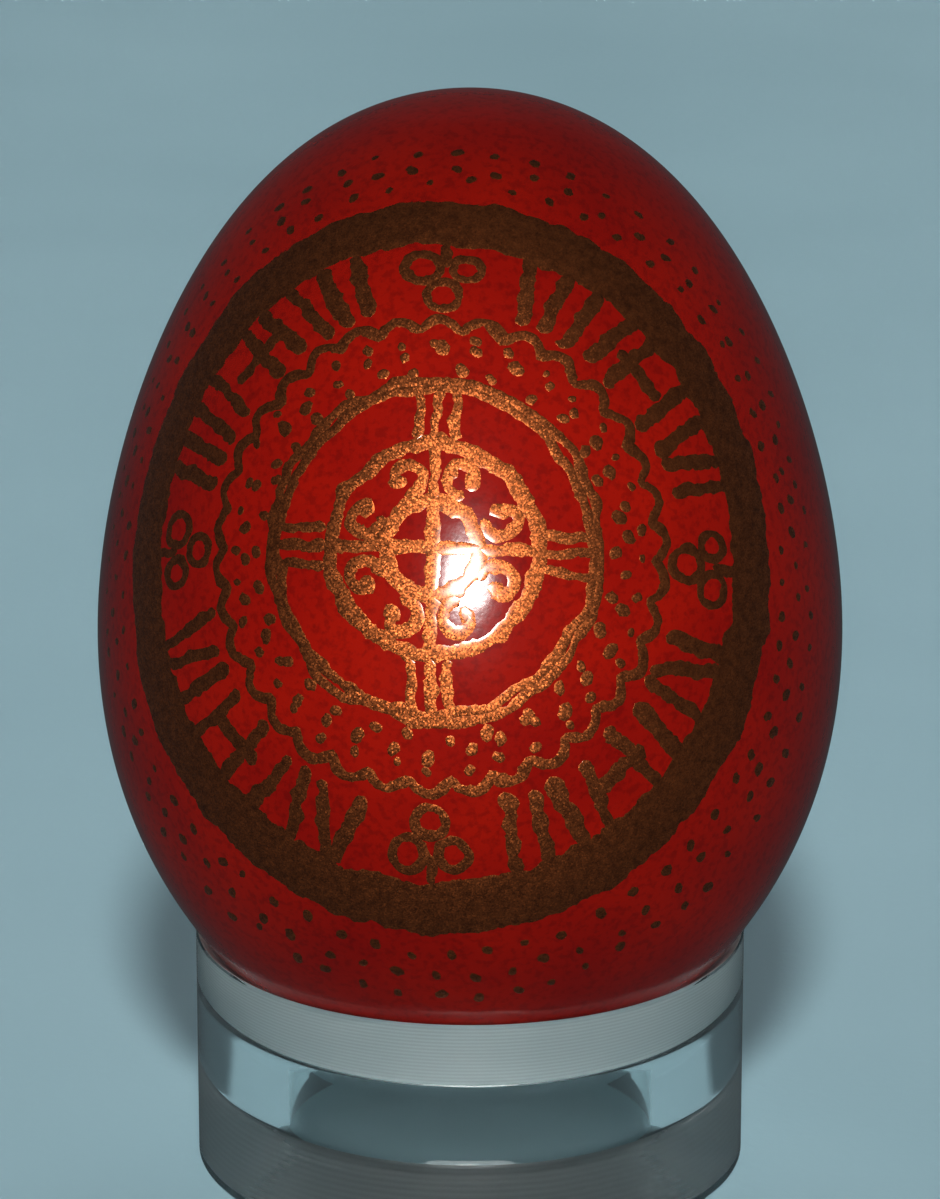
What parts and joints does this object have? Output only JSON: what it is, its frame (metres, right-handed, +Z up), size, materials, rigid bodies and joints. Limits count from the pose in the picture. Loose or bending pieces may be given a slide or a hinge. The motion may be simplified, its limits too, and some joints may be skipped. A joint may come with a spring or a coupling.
{
  "type": "decorated egg",
  "caption": "Blown and dyed hen's egg with raised metallic medallions, standing blunt end down in a clear turned ring that it lifts out of.",
  "frame": {"origin": "centre of the display ring's foot, on the surface that it stands on", "axes": "+Z up along the ring's and the egg's common axis; -Y is the front, which the nearer medallion faces; +X is to the viewer's right"},
  "size_m": [0.0424, 0.0426, 0.063],
  "materials": {
    "dyed_shell": "gloss varnish over red dye",
    "gold_paint": "flaky metallic paint, slightly raised",
    "membrane": "dry, matte",
    "wax": "satin",
    "clear_ring": "polished walls, finely turned bevels"
  },
  "bodies": {
    "stand": {"stand_ring": "clear_ring"},
    "egg": {"eggshell": "dyed_shell", "shell_membrane": "membrane", "blow_hole_plug": "wax", "front_border_band": "gold_paint", "front_comb_strokes": "gold_paint", "front_corner_crosses": "gold_paint", "front_loop_trefoils": "gold_paint", "front_scallop_line": "gold_paint", "front_middle_ring": "gold_paint", "front_bridges": "gold_paint", "front_inner_ring": "gold_paint", "front_scrolls": "gold_paint", "front_hub_wheel": "gold_paint", "back_border_band": "gold_paint", "back_comb_strokes": "gold_paint", "back_corner_crosses": "gold_paint", "back_loop_trefoils": "gold_paint", "back_scallop_line": "gold_paint", "back_middle_ring": "gold_paint", "back_bridges": "gold_paint", "back_inner_ring": "gold_paint", "back_scrolls": "gold_paint", "back_hub_wheel": "gold_paint"}
  },
  "joints": [
    {"name": "egg_lift", "type": "slide", "parent": "stand", "child": "egg", "axis": [0, 0, 1], "range_m": [0, 0.03]}
  ]
}
